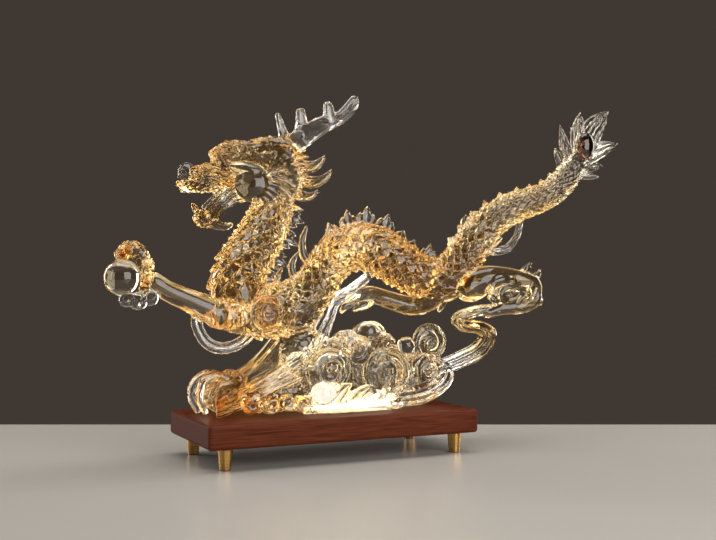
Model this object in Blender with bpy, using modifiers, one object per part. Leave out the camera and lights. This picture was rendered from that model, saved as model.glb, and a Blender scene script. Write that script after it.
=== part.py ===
"""Cast glass dragon over clouds, with its pearl, on a walnut plinth with four brass feet.

Metres, +Z up, +X along the plinth towards the tail, +Y away from the side that faces the viewer.
The origin is on the surface that the feet stand on, under the middle of the whole object.
The figure's pose is drawn in small units above the plinth's top, under the plinth's own centre,
and UNIT turns those units into metres, so that the whole figure follows FIGURE_LENGTH.
"""

import math

import bmesh
import bpy
from mathutils import Matrix, Vector

# Plinth
PLINTH_LENGTH = 0.240
PLINTH_DEPTH = 0.108
PLINTH_THICKNESS = 0.020
PLINTH_EDGE_RADIUS = 0.003

# Feet
FOOT_HEIGHT = 0.017
FOOT_TOP_DIAMETER = 0.012
FOOT_TIP_DIAMETER = 0.0095
FOOT_INSET_X = 0.017
FOOT_INSET_Y = 0.012
FOOT_SIDES = 16

# Figure and pearl
FIGURE_LENGTH = 0.488
PEARL_DIAMETER = 0.028
SEAT_GAP = 0.0003

# The drawing reaches from the pearl on the left to the tail fin on the right, in units
DRAWN_LEFT = 196.0
DRAWN_RIGHT = 292.0
UNIT = FIGURE_LENGTH / (DRAWN_LEFT + DRAWN_RIGHT)

PLINTH_X = (DRAWN_LEFT - DRAWN_RIGHT) / 2 * UNIT
PLINTH_UNDERSIDE = FOOT_HEIGHT + SEAT_GAP
PLINTH_TOP = PLINTH_UNDERSIDE + PLINTH_THICKNESS

# Spines of the figure, each point as x, y, height above the plinth and half thickness, in units
NECK = [
    (-34, 4, 201, 12), (-39, 3, 189, 14.5), (-44, 2, 173, 17), (-53, 0, 156, 18.5),
    (-64, -2, 138, 20), (-75, -3, 121, 21.5), (-80, -3, 104, 22), (-76, -2, 91, 19),
]
BODY = [
    (-82, -2, 97, 19), (-61, -3, 86, 22), (-39, -4, 91.5, 22.5), (-20, -4, 107, 22),
    (-2, -2, 124, 21), (17, 2, 136, 20.5), (37, 5, 138.5, 20), (56.5, 6, 134, 20),
    (74, 5, 123.5, 19.5), (91.5, 3, 114, 18), (110, 0, 111, 17), (127, -2, 119, 18),
    (139.5, -4, 136, 16.5), (150.5, -6, 152, 15.5), (165, -8, 165, 14.5), (183, -10, 175, 13.5),
    (202, -12, 180.5, 12.5), (219, -14, 188, 12), (234, -15, 200, 11.5), (245, -16, 214, 9.5),
    (251, -17, 226, 6.5),
]
SCALE_ROW = 6.5
SCALES_ROUND = 8
SCALE_HEIGHT = 0.11
SKIN_GRAIN = 1.3
FACETS_KEPT = 0.0258

# Dorsal fins, each as the tip's x and height and the blade's width at its root, in units
NECK_FINS = [(-17, 158, 12), (-23, 138.5, 11), (-33, 121, 10), (-41, 105, 9)]
BODY_FINS = [
    (-37, 121, 6), (-26, 133, 6), (-13, 152, 7), (3, 159.5, 12), (22, 170.5, 16),
    (43, 174, 17), (64.5, 168, 15), (79.5, 152.5, 17), (89, 144.5, 13), (104, 141, 12),
    (117, 146, 12), (127, 151.5, 12), (136, 159.5, 12), (139, 171, 10),
]
TAIL_SPINES = 9
TAIL_SPINE_HEIGHT = 5.5

# The head is drawn in profile: forward of, beside and above the top of the neck
HEAD_PIVOT = (-40.5, 2, 189.5)
HEAD_TURN = math.radians(25)

# Tail fin lobes, each as root and tip in x, y and height, then width
TAIL_LOBES = [
    ((243, -17, 208), (223, -22, 252), 14), ((240, -15, 204), (224, -12, 232), 12),
    ((248, -19, 224), (249, -19, 265), 18), ((252, -16, 224), (288, -12, 271), 26),
    ((252, -18, 218), (293, -22, 237), 17), ((251, -15, 210), (283, -11, 216), 11),
    ((247, -17, 205), (272, -20, 204), 9),
]

# Near foreleg that holds the pearl up, and the pearl's place
NEAR_ARM = [
    (-46, -15, 86, 13), (-58, -17, 83.5, 14), (-83, -20, 81, 12.5), (-106, -24, 86.5, 11),
    (-128, -27, 96, 8.6), (-147, -29, 105, 6.8), (-158, -30, 114, 6.8),
]
PEARL_CENTRE = (-181.5, -30, 114.5)

# Far foreleg that stands on the plinth, and the two hind legs
FAR_FORELEG = [
    (-16, 8, 84, 14), (-25, 12, 67, 12.5), (-39, 15, 49.5, 11), (-54, 17, 34.5, 10.5),
    (-68, 18, 25, 11),
]
NEAR_HIND_LEG = [
    (134, -14, 104, 12), (148, -19, 110, 12), (164, -22, 112, 9.5), (181, -25, 110, 8),
    (193, -26, 107, 6.8), (196.5, -26, 98, 5.6), (194, -26, 89, 5.8), (180, -26, 85.5, 6.5),
    (160, -26, 84, 6), (146, -25, 80, 4.5),
]
FAR_HIND_LEG = [
    (120, 10, 106, 12), (108, 17, 92, 12), (95, 21, 86, 9), (74, 23, 91, 8),
    (52, 23, 97, 7.5), (40, 24, 93, 6),
]

# Ribbons of glass: the streamers, the ribbon that lifts the hind foot, and the hair locks
FOOT_RIBBON = [
    (94, 4, 26, 7.5), (112, 4, 30, 7.5), (132, 0, 37, 8), (150, -4, 46, 8.5), (156, -10, 59, 8.5),
    (144, -14, 67, 7), (126, -18, 69.5, 6.5), (118, -22, 76, 6), (133, -24, 81.5, 5.5),
    (156, -25, 84, 5), (172, -25, 88, 4.5),
]
BELLY_STREAMER = [
    (46, 11, 112, 4.5), (28, 9, 100.5, 5), (13, 8, 91, 6), (5, 6, 76, 7), (-4, 4, 61, 9),
    (-12, 3, 48, 11),
]
LOW_RIBBON = [
    (56, -10, 6, 6.5), (86, -10, 9, 8), (108, -7, 17, 8), (116, -4, 28, 7), (107, 0, 37, 5),
]
TAIL_LOCK = [
    (188, -11, 166, 3.5), (182, -14, 149, 4), (168, -16, 138, 4), (152, -16, 139, 4.5),
    (139, -14, 147, 5),
]
RIBBON_WIDE = 1.15
RIBBON_TALL = 0.9
STRAND_DEPTH = 0.12
ELBOW_LOCK = [
    (-119, -26, 90, 4), (-121, -26, 78, 4), (-115, -27, 64.5, 4), (-104, -27, 58, 4),
    (-90, -26, 59, 4), (-77, -23, 66, 4), (-70, -20, 75, 4),
]

# Cloud masses as centre and half sizes, and cloud scrolls as centre and radius
CLOUD_MASSES = [
    ((42, 8, 34), (36, 20, 34)), ((4, 8, 28), (36, 20, 34)), ((82, 6, 24), (28, 15, 24)),
    ((-38, 8, 16), (34, 17, 20)), ((-20, 5, 54), (20, 14, 24)), ((50, 10, 64), (14, 11, 13)),
    ((25, 9, 56), (13, 11, 12)), ((68, 12, 52), (12, 10, 13)), ((17, -10, 20), (13, 10, 14)),
    ((-26, -6, 14), (14, 11, 13)), ((-54, -2, 10), (11, 10, 9)),
]
CLOUD_SCROLLS = [
    ((107, 8, 53), 17), ((94, -5, 32), 15), ((57, -13, 31.5), 20), ((-3, -10, 37), 19),
    ((-31, -8, 34), 11), ((26, -12, 52), 11), ((62, 22, 36), 19), ((12, 23, 40), 18),
    ((-24, 20, 26), 13), ((94, 17, 30), 14),
]


def clear_scene():
    for obj in list(bpy.data.objects):
        bpy.data.objects.remove(obj, do_unlink=True)


def new_collection(name):
    made = bpy.data.collections.new(name)
    bpy.context.scene.collection.children.link(made)
    return made


def material(name, colour, roughness, metallic=0.0, transmission=0.0):
    """A plain Principled material."""
    made = bpy.data.materials.new(name)
    made.use_nodes = True
    shader = made.node_tree.nodes["Principled BSDF"]
    shader.inputs["Base Color"].default_value = (*colour, 1.0)
    shader.inputs["Roughness"].default_value = roughness
    shader.inputs["Metallic"].default_value = metallic
    shader.inputs["Transmission Weight"].default_value = transmission
    made.diffuse_color = (*colour, 1.0)
    return made


def place(point):
    """A drawn point of the figure as a place in metres."""
    x, y, z = point[:3]
    return Vector((PLINTH_X + x * UNIT, y * UNIT, PLINTH_TOP + z * UNIT))


def head_point(forward, side, up):
    """A point of the head's drawing as a drawn point of the figure."""
    ahead = Vector((-math.cos(HEAD_TURN), math.sin(HEAD_TURN), 0))
    beside = Vector((-math.sin(HEAD_TURN), -math.cos(HEAD_TURN), 0))
    found = Vector(HEAD_PIVOT) + ahead * forward + beside * side + Vector((0, 0, up))
    return tuple(found)


def head_spine(points):
    return [(*head_point(*point[:3]), point[3]) for point in points]


def smooth_path(points, step):
    """Samples of a smooth curve through drawn points, as Vectors of x, y, height and radius."""
    knots = [Vector(point) for point in points]
    knots = [2 * knots[0] - knots[1], *knots, 2 * knots[-1] - knots[-2]]
    samples = []
    for before, start, end, after in zip(knots, knots[1:], knots[2:], knots[3:]):
        pieces = max(1, round((end - start).to_3d().length / step))
        for i in range(pieces):
            t = i / pieces
            samples.append(
                0.5 * (2 * start + t * (end - before)
                       + t * t * (2 * before - 5 * start + 4 * end - after)
                       + t ** 3 * (3 * start - before - 3 * end + after))
            )
    samples.append(knots[-2])
    return samples


def frames_along(samples):
    """Tangent, sideways and outward directions at each sample, turning as little as they can."""
    places = [Vector(sample[:3]) for sample in samples]
    side = Vector((0, 1, 0))
    frames = []
    for i, here in enumerate(places):
        ahead = places[min(i + 1, len(places) - 1)]
        behind = places[max(i - 1, 0)]
        tangent = (ahead - behind).normalized()
        side = (side - tangent * side.dot(tangent)).normalized()
        frames.append((here, tangent, side, tangent.cross(side)))
    return frames


def mesh_object(name, bm, collection):
    bmesh.ops.recalc_face_normals(bm, faces=bm.faces[:])
    mesh = bpy.data.meshes.new(name)
    bm.to_mesh(mesh)
    bm.free()
    made = bpy.data.objects.new(name, mesh)
    collection.objects.link(made)
    return made


def loft(bm, rings, start, end):
    """Joins rings of points into one closed skin that ends in two points."""
    rows = [[bm.verts.new(place(point)) for point in ring] for ring in rings]
    first, last = bm.verts.new(place(start)), bm.verts.new(place(end))
    count = len(rows[0])
    for row, following in zip(rows, rows[1:]):
        for j in range(count):
            k = (j + 1) % count
            bm.faces.new((row[j], row[k], following[k], following[j]))
    for j in range(count):
        k = (j + 1) % count
        bm.faces.new((rows[0][k], rows[0][j], first))
        bm.faces.new((rows[-1][j], rows[-1][k], last))


def sweep(group, points, sides=10, step=5.0, wide=1.0, tall=1.0, relief=None, blunt=0.6):
    """A round or flat bar along a spine. relief(row, side) swells or sinks single points."""
    samples = smooth_path(points, step)
    frames = frames_along(samples)
    rings = []
    for row, ((here, _, side, out), sample) in enumerate(zip(frames, samples)):
        ring = []
        for j in range(sides):
            angle = 2 * math.pi * j / sides
            reach = sample[3] * (1 + (relief(row, j) if relief else 0.0))
            ring.append(here + side * math.cos(angle) * reach * wide
                        + out * math.sin(angle) * reach * tall)
        rings.append(ring)
    bm = bmesh.new()
    start = frames[0][0] - frames[0][1] * samples[0][3] * blunt
    end = frames[-1][0] + frames[-1][1] * samples[-1][3] * blunt
    loft(bm, rings, start, end)
    return mesh_object("bar", bm, group)


def ball(group, centre, radii, segments=20, rings=12, turn=0.0):
    """An egg shape with its own half sizes, turned about the upright axis. Its poles face +-Y."""
    bm = bmesh.new()
    bmesh.ops.create_uvsphere(bm, u_segments=segments, v_segments=rings, radius=1.0,
                              matrix=Matrix.Rotation(math.pi / 2, 4, "X"))
    size = Matrix.Diagonal((*[radius * UNIT for radius in radii], 1.0))
    move = Matrix.Translation(place(centre)) @ Matrix.Rotation(turn, 4, "Z") @ size
    bmesh.ops.transform(bm, matrix=move, verts=bm.verts[:])
    return mesh_object("ball", bm, group)


def head_ball(group, centre, radii, segments=16, rings=8):
    """An egg shape on the head, its half sizes given forward, sideways and up."""
    return ball(group, head_point(*centre), radii, segments, rings, -HEAD_TURN)


def blade(group, root, tip, width, thick=3.0, across=Vector((0, 1, 0))):
    """A leaf-shaped fin from root to tip: widest a third of the way up, thin at its edges."""
    root, tip = Vector(root), Vector(tip)
    up = (tip - root).normalized()
    flat = (across - up * across.dot(up)).normalized()
    edge = up.cross(flat)
    rings = []
    for share, girth in ((0.0, 0.8), (0.4, 1.0), (0.75, 0.7), (0.95, 0.3)):
        middle = root.lerp(tip, share)
        rings.append([
            middle + edge * width / 2 * girth, middle + flat * thick / 2 * girth,
            middle - edge * width / 2 * girth, middle - flat * thick / 2 * girth,
        ])
    bm = bmesh.new()
    loft(bm, rings, root - up * 0.5, tip)
    return mesh_object("blade", bm, group)


def scroll_path(centre, radius, turns=1.6, handed=1):
    """A flat spiral round a centre, from its rim inwards, as spine points."""
    x, y, z = centre
    count = 9
    points = []
    for i in range(count):
        share = i / (count - 1)
        angle = handed * (math.pi / 3 + share * turns * 2 * math.pi)
        reach = radius * (1 - 0.78 * share) * 0.86
        points.append((
            x + reach * math.cos(angle), y, z + reach * math.sin(angle),
            radius * (0.17 - 0.06 * share),
        ))
    return points


def scale_relief(row, side):
    """Staggered rows: every other point stands proud, so the skin reads as overlapping scales."""
    return SCALE_HEIGHT if (row + side) % 2 else -SCALE_HEIGHT


def neck_and_body(group):
    for spine in (NECK, BODY):
        sweep(group, spine, sides=2 * SCALES_ROUND, step=SCALE_ROW, relief=scale_relief)


def fins_along(group, spine, fins):
    """Blades that spring from the nearest place on the spine."""
    frames = frames_along(smooth_path(spine, 3.0))
    for x, z, width in fins:
        tip = Vector((x, 0, z))
        here, _, side, _ = min(frames, key=lambda found: (found[0].xz - tip.xz).length)
        tip.y = here.y
        blade(group, here.lerp(tip, 0.35), tip, width, across=side)


def tail_spines(group):
    """Small hooked spines that shrink towards the tail fin."""
    samples = smooth_path(BODY, 3.0)
    frames = frames_along(samples)
    first, last = int(len(frames) * 0.66), int(len(frames) * 0.93)
    for i in range(TAIL_SPINES):
        at = first + (last - first) * i // (TAIL_SPINES - 1)
        here, tangent, side, out = frames[at]
        radius = samples[at][3]
        height = TAIL_SPINE_HEIGHT * (1 - 0.4 * i / TAIL_SPINES)
        blade(group, here + out * radius * 0.6,
              here + out * (radius + height) + tangent * 4, 7, across=side)


def skull(group):
    head_ball(group, (20, 0, 13), (27, 13, 17))
    head_ball(group, (-1, 0, 12), (17, 14, 20))
    head_ball(group, (50, 0, 8), (19, 10, 10))
    head_ball(group, (36, 0, 17), (20, 10, 11))
    head_ball(group, (67, 0, 13), (12, 8, 6))
    head_ball(group, (72, 0, 1), (13, 8, 5))
    for side in (-1, 1):
        head_ball(group, (78, 4.5 * side, 12), (6.5, 6, 6.5))
        head_ball(group, (21.5, 10.5 * side, 0.6), (13.8, 12, 13.6))
        head_ball(group, (43, 8.5 * side, 18), (3.5, 3, 3))
        head_ball(group, (25, 10 * side, 16), (14, 5, 4.5))
        for forward, up, size in ((55, 24, 5.5), (46, 29, 7), (33, 30, 7), (20, 31, 6.5),
                                  (5, 33, 7), (-5, 30, 7)):
            head_ball(group, (forward, 6 * side, up), (size, size, size))
        for forward in (64, 71, 78):
            root, tip = head_point(forward, 5 * side, -1), head_point(forward - 1, 5 * side, -7)
            blade(group, root, tip, 4.5, 4)


def lower_jaw(group):
    strap = [(22, 0, -4, 9), (36, 0, -7, 8), (46, 0, -14, 7), (55, 0, -23, 7), (64, 0, -27, 6)]
    tongue = [(40, 0, -3, 3.5), (52, 0, -10, 3), (62, 0, -17, 2.5)]
    beard = [(62, 0, -30, 5), (53, 0, -33, 4), (45, 0, -34, 3), (40, 0, -32, 2)]
    sweep(group, head_spine(strap), wide=1.1, tall=0.8)
    sweep(group, head_spine(tongue), wide=1.3)
    sweep(group, head_spine(beard), wide=1.5)
    for side in (-1, 1):
        blade(group, head_point(66, 4 * side, -24), head_point(73, 5 * side, -14), 6, 4)
        blade(group, head_point(58, 5 * side, -24), head_point(60, 6 * side, -17), 5, 3.5)


def mane(group):
    """Swept locks behind the cheeks, in pairs."""
    locks = [
        [(2, 20, 7), (-14, 17, 6), (-28, 16, 4.5), (-37, 22.5, 1.5)],
        [(2, 12, 7), (-16, 8, 6), (-32, 5, 4.5), (-43, 11, 1.5)],
        [(4, 4, 7), (-12, -4, 6), (-24, -8, 4), (-31, -6, 1.5)],
        [(6, 0, 7), (-4, -12, 5.5), (-12, -18, 4), (-19, -19, 1.5)],
        [(10, -4, 6), (6, -15, 5), (1, -22, 3.5), (-4, -26, 1.2)],
    ]
    for side in (-1, 1):
        for lock in locks:
            flare = [(forward, side * (9 + 1.5 * i), up, radius)
                     for i, (forward, up, radius) in enumerate(lock)]
            sweep(group, head_spine(flare), wide=0.7)


def antlers(group):
    """Two antlers, each one beam with three tines, flattened from side to side."""
    beam = [(-6, 31, 8), (-22, 41, 8.5), (-39, 50, 8), (-54, 60, 7), (-62, 70, 5), (-63.5, 75, 3)]
    tines = [
        [(-3, 34, 5.5), (-2, 47, 4.5), (0.5, 58, 3.2)],
        [(-18, 42, 6), (-16.5, 54, 5), (-16.5, 63, 4)],
        [(-42, 52, 5.5), (-39, 62, 4), (-40.5, 68.5, 3)],
    ]
    for side in (-1, 1):
        for path in (beam, *tines):
            splayed = [(forward, side * (5 + 0.09 * (up - 30)), up, radius)
                       for forward, up, radius in path]
            sweep(group, head_spine(splayed), wide=0.55)


def tail_fin(group):
    for root, tip, width in TAIL_LOBES:
        blade(group, root, tip, width, 4)
    ball(group, (252, -25, 231.5), (8, 8, 11))


def near_arm(group):
    """The raised foreleg, whose toes close over and under the pearl."""
    sweep(group, NEAR_ARM)
    ball(group, (-60.5, -24, 82), (12.5, 11, 12.5))
    sweep(group, scroll_path((-60.5, -33, 82), 12), step=4)
    ball(group, (-159, -27, 125), (9, 10, 14))
    ball(group, (-165, -22, 128), (11, 10, 10))
    toes = [
        [(-160, -21, 129, 7), (-166, -20, 135.5, 6.5), (-174, -21, 136, 6), (-182, -24, 131.5, 4.5)],
        [(-160, -31, 129, 7), (-166, -33, 135, 6.5), (-174, -35, 136, 6), (-183, -34, 131.5, 4.5)],
        [(-161, -37, 127, 5), (-164, -40, 117, 4.5), (-166, -39, 107, 4), (-170, -37, 101, 3)],
    ]
    for toe in toes:
        sweep(group, toe)
    for x, z, radius in ((-178, 98, 6.5), (-169.5, 96.5, 7.2), (-160.5, 99, 7)):
        ball(group, (x, -31, z), (radius, radius + 2, radius))


def far_foreleg(group):
    """The standing foreleg, with its broad paw and great curved claws."""
    sweep(group, FAR_FORELEG)
    ball(group, (-84, 18, 15), (19, 16, 16))
    for y, reach in ((7, 0), (18, 3), (29, 0)):
        claw = [(-84, y, 27, 6), (-95 - reach, y, 31, 5.5), (-105 - reach, y, 24, 5),
                (-107 - reach, y, 13, 4.5), (-103 - reach, y, 3, 3.5)]
        sweep(group, claw)
        ball(group, (-96, y, 9), (9, 7, 9))
    for y in (8, 26):
        ball(group, (-60, y, 9), (8, 7, 8))


def hind_legs(group):
    sweep(group, NEAR_HIND_LEG)
    sweep(group, FAR_HIND_LEG)
    ball(group, (138, -16, 105), (19, 11, 14))
    ball(group, (124, 12, 103), (17, 10, 14))
    ball(group, (168, -24, 97), (22, 7, 13))
    spurs = [
        [(178, -26, 112, 4), (185, -27, 119, 3.4), (190, -27, 123.5, 1.6)],
        [(192, -25, 109, 4.5), (198, -26, 114, 3), (200, -26, 117.5, 1.4)],
        [(176, -28, 105, 4), (163, -30, 109, 4.5), (150, -30, 107, 4.5), (146, -30, 98, 4)],
        [(121, 17, 96, 3), (125, 18, 88, 3.4), (121, 18, 81, 1.8)],
    ]
    far_toes = [
        [(56, 20, 97, 5.5), (44, 18, 97, 5), (33, 16, 95, 4.4), (25.5, 16, 91, 2.2)],
        [(52, 26, 94, 5), (42, 28, 92, 4.8), (33, 28, 87, 4.2), (28, 27, 81.5, 2)],
        [(52, 19, 90, 4), (43, 17, 86.5, 4), (36, 17, 83.5, 2)],
    ]
    for path in (*spurs, *far_toes):
        sweep(group, path)


def rib_relief(row, side):
    """Alternate points sink, so that a ribbon reads as bundled strands."""
    return STRAND_DEPTH if side % 2 else -STRAND_DEPTH


def ribbons(group):
    for path in (FOOT_RIBBON, LOW_RIBBON, BELLY_STREAMER):
        sweep(group, path, wide=RIBBON_WIDE, tall=RIBBON_TALL, relief=rib_relief)
    for path in (TAIL_LOCK, ELBOW_LOCK):
        sweep(group, path, sides=8, tall=RIBBON_WIDE, relief=rib_relief)


def clouds(group):
    for centre, radii in CLOUD_MASSES:
        ball(group, centre, radii)
    for i, (centre, radius) in enumerate(CLOUD_SCROLLS):
        x, y, z = centre
        out = -1 if y < 10 else 1
        ball(group, centre, (radius, 7.5, radius))
        rim = (x, y + 5.5 * out, z)
        sweep(group, scroll_path(rim, radius, handed=1 if i % 2 else -1), step=4)


def joined(name, group, collection, cutters):
    """One solid from every object of a group, less the cutters."""
    pieces = list(group.objects)
    whole = pieces[0]
    group.objects.unlink(whole)
    collection.objects.link(whole)
    whole.name = whole.data.name = name
    union = whole.modifiers.new("Union", "BOOLEAN")
    union.operation, union.solver = "UNION", "MANIFOLD"
    union.operand_type, union.collection = "COLLECTION", group
    skin = whole.modifiers.new("One skin", "REMESH")
    skin.mode, skin.voxel_size = "VOXEL", SKIN_GRAIN * UNIT
    thin = whole.modifiers.new("Fewer facets", "DECIMATE")
    thin.ratio = FACETS_KEPT
    for cutter in cutters:
        cut = whole.modifiers.new("Cut", "BOOLEAN")
        cut.operation, cut.solver, cut.object = "DIFFERENCE", "EXACT", cutter
    return whole


def as_helper(obj):
    obj.hide_render = True
    obj.display_type = "WIRE"


def box(name, corner, size, collection):
    """A block from its lowest corner and its size."""
    bm = bmesh.new()
    bmesh.ops.create_cube(bm, size=1.0)
    middle = Vector(corner) + Vector(size) / 2
    bmesh.ops.transform(
        bm, matrix=Matrix.Translation(middle) @ Matrix.Diagonal((*size, 1.0)), verts=bm.verts[:]
    )
    return mesh_object(name, bm, collection)


def dragon(collection, helpers):
    """The casting: every form above, fused, cut flat below and hollowed for the pearl."""
    forms = bpy.data.collections.new("dragon_forms")
    helpers.children.link(forms)
    for build in (neck_and_body, skull, lower_jaw, mane, antlers, tail_fin, near_arm,
                  far_foreleg, hind_legs, ribbons, clouds, tail_spines):
        build(forms)
    fins_along(forms, NECK, NECK_FINS)
    fins_along(forms, BODY, BODY_FINS)
    depth = 0.1
    underside = box(
        "underside_cutter", (PLINTH_X - FIGURE_LENGTH, -FIGURE_LENGTH, PLINTH_TOP - depth),
        (2 * FIGURE_LENGTH, 2 * FIGURE_LENGTH, depth + SEAT_GAP), helpers,
    )
    socket = sphere("pearl_cutter", place(PEARL_CENTRE), PEARL_DIAMETER / 2 + SEAT_GAP, helpers)
    whole = joined("dragon", forms, collection, (underside, socket))
    for helper in (*forms.objects, underside, socket):
        as_helper(helper)
    whole.data.materials.append(material("amber_glass", (0.86, 0.62, 0.30), 0.05, 0.0, 0.9))
    return whole


def sphere(name, centre, radius, collection):
    bm = bmesh.new()
    bmesh.ops.create_uvsphere(bm, u_segments=20, v_segments=12, radius=radius)
    bmesh.ops.translate(bm, vec=centre, verts=bm.verts[:])
    made = mesh_object(name, bm, collection)
    made.data.shade_smooth()
    return made


def pearl(collection):
    made = sphere("pearl", place(PEARL_CENTRE), PEARL_DIAMETER / 2, collection)
    made.data.materials.append(material("clear_glass", (0.95, 0.95, 0.93), 0.03, 0.0, 0.95))
    return made


def plinth(collection):
    size = (PLINTH_LENGTH, PLINTH_DEPTH, PLINTH_THICKNESS)
    corner = (PLINTH_X - PLINTH_LENGTH / 2, -PLINTH_DEPTH / 2, PLINTH_UNDERSIDE)
    made = box("plinth", corner, size, collection)
    edge = made.modifiers.new("Rounded edges", "BEVEL")
    edge.width, edge.segments, edge.limit_method = PLINTH_EDGE_RADIUS, 3, "ANGLE"
    made.data.materials.append(material("walnut", (0.20, 0.075, 0.04), 0.4))
    return made


def foot(name, x, y, collection):
    """A turned peg, wide under the plinth and slimmer at the floor, its rims eased."""
    top, tip, ease = FOOT_TOP_DIAMETER / 2, FOOT_TIP_DIAMETER / 2, 0.0006
    profile = [
        (0, FOOT_HEIGHT), (top - ease, FOOT_HEIGHT), (top, FOOT_HEIGHT - ease),
        (tip, ease), (tip - ease, 0), (0, 0),
    ]
    mesh = bpy.data.meshes.new(name)
    mesh.from_pydata([(r, 0, z) for r, z in profile],
                     [(i, i + 1) for i in range(len(profile) - 1)], [])
    made = bpy.data.objects.new(name, mesh)
    collection.objects.link(made)
    made.location = (x, y, 0)
    turn = made.modifiers.new("Turned", "SCREW")
    turn.steps = turn.render_steps = FOOT_SIDES
    turn.use_merge_vertices, turn.merge_threshold = True, 0.00005
    made.data.materials.append(material("brass_" + name, (0.72, 0.52, 0.25), 0.3, 1.0))
    return made


def feet(collection):
    for end, sign_x in (("left", -1), ("right", 1)):
        for row, sign_y in (("front", -1), ("back", 1)):
            x = PLINTH_X + sign_x * (PLINTH_LENGTH / 2 - FOOT_INSET_X)
            y = sign_y * (PLINTH_DEPTH / 2 - FOOT_INSET_Y)
            foot(f"foot_{row}_{end}", x, y, collection)


def main():
    clear_scene()
    parts = new_collection("dragon_sculpture")
    helpers = new_collection("helpers")
    dragon(parts, helpers)
    pearl(parts)
    plinth(parts)
    feet(parts)


main()
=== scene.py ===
"""Looks of the cast glass dragon on its walnut plinth.

The figure is drawn in millimetres from the plinth: x along it towards the tail, y away from the
viewed side, z above its top. A drawn bar is a list of such points with its radius at each. Every
form is laid down as a dense closed skin with a tint, from 0 for clear glass up through amber to a
brown that is nearly black. One voxel skin then fuses them into a single casting, as poured glass
is.
"""

import math

import bmesh
import bpy
import numpy as np
from mathutils import Matrix, Vector, kdtree


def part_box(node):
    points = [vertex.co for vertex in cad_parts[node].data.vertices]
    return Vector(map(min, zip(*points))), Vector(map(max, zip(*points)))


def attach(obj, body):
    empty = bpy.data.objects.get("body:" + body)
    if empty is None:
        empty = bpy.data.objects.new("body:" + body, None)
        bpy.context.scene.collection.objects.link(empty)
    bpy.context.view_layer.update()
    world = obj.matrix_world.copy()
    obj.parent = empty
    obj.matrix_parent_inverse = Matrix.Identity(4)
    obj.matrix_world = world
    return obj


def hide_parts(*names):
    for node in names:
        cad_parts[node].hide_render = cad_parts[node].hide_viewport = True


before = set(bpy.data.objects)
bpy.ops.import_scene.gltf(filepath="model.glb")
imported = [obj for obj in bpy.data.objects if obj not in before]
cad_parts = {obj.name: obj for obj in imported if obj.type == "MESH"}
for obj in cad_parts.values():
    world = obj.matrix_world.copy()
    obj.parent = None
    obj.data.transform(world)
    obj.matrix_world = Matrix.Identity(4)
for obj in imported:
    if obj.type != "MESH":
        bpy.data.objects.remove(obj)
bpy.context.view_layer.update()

MM = 0.001
PLINTH_LOW, PLINTH_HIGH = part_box("plinth")
PLINTH_X = (PLINTH_LOW[0] + PLINTH_HIGH[0]) / 2
PLINTH_TOP = PLINTH_HIGH[2]
PEARL_LOW, PEARL_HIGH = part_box("pearl")
PEARL_CENTRE = (Vector(PEARL_LOW) + Vector(PEARL_HIGH)) / 2
PEARL_RADIUS = (PEARL_HIGH[0] - PEARL_LOW[0]) / 2

# Skin: voxel of the fused casting, rounds of smoothing, and the most triangles kept
VOXEL = 0.65 * MM
SMOOTHING_ROUNDS = 2
MOST_TRIANGLES = 190000

# A vertex takes the mean tint of so many laid points, which is then blurred so many times
TINT_POINTS = 4
TINT_BLURS = 2

# Drawn millimetres between the points of a form before it is fused
FINE_STEP = 0.8
SCALE_STEP = 0.6

# Angles of the rings that round off a bar's end, from its side towards its tip
CAP_LIFTS = (0.35, 0.7, 1.05, 1.35)

# Gap between the casting and what it touches, in metres
SEAT_GAP = 0.0003

# Camera: the photograph's viewpoint in the plinth's own millimetres, and its focal length in pixels
CAMERA_AT = (-405.4, -937.0, 133.0)
CAMERA_YAW = math.radians(-25.0)
CAMERA_PITCH = math.radians(0.8)
FOCAL_PIXELS = 1200.0
FRAME_PIXELS = 716.0

# Soft boxes: name, degrees round from the camera, height, distance, width and height, radiance
SOFT_BOXES = [
    ("front_left", -60, 0.50, 1.4, (0.25, 1.1), 3),
    ("front_right", 38, 0.40, 1.2, (1.0, 1.0), 6),
    ("back_left", -114, 0.50, 1.3, (0.22, 1.3), 12),
    ("back_right", 118, 0.50, 1.3, (0.25, 1.3), 12),
    ("top", 0, 1.5, 0.05, (1.4, 0.9), 5),
]
SOFT_BOX_COLOUR = (1.0, 0.96, 0.90)
SOFT_BOX_AIM = Vector((0, 0, 0.15))

# Lamps under the clouds: drawn place, direction, width and depth in millimetres, radiance
BASE_GLOW = [
    ((16, -6, 0.8), (0, 0, 1), (92, 26), 2.6),
    ((20, 0, 9), (-0.42, -0.9, 0.35), (84, 15), 0.75),
]
GLOW_COLOUR = (1.0, 0.92, 0.78)

# Room round the figure, and the table top: its size in metres and its reach behind the figure
ROOM_COLOUR = (0.051, 0.040, 0.033)
CEILING_COLOUR = (0.20, 0.175, 0.145)
TABLE_COLOUR = (0.36, 0.35, 0.335)
TABLE_SIZE = Vector((1.5, 0.95, 0.03))
TABLE_BEHIND = 0.15

# Winding ridges of the carved head, paws and clouds, in millimetres from crest to crest
CARVING_SIZE = 4.2

# Painted shade: how much more tint the glass is given in a groove than on a crest, on carving and on
# scales, so that grooves look shaded and crests look lit
GROOVE_PAINTED_SHADE = 0.4
SCALE_PAINTED_SHADE = 0.45

# Tints of the casting
CLEAR, PALE, HONEY, GOLD, AMBER = 0.0, 0.2, 0.4, 0.5, 0.8
# The tail fin's boss is tinted nearly black as painted shade, standing for the dark room seen through a
# clear boss.
BROWN, BOSS_PAINTED_SHADE, BLACK = 1.2, 2.4, 6.0

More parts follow.
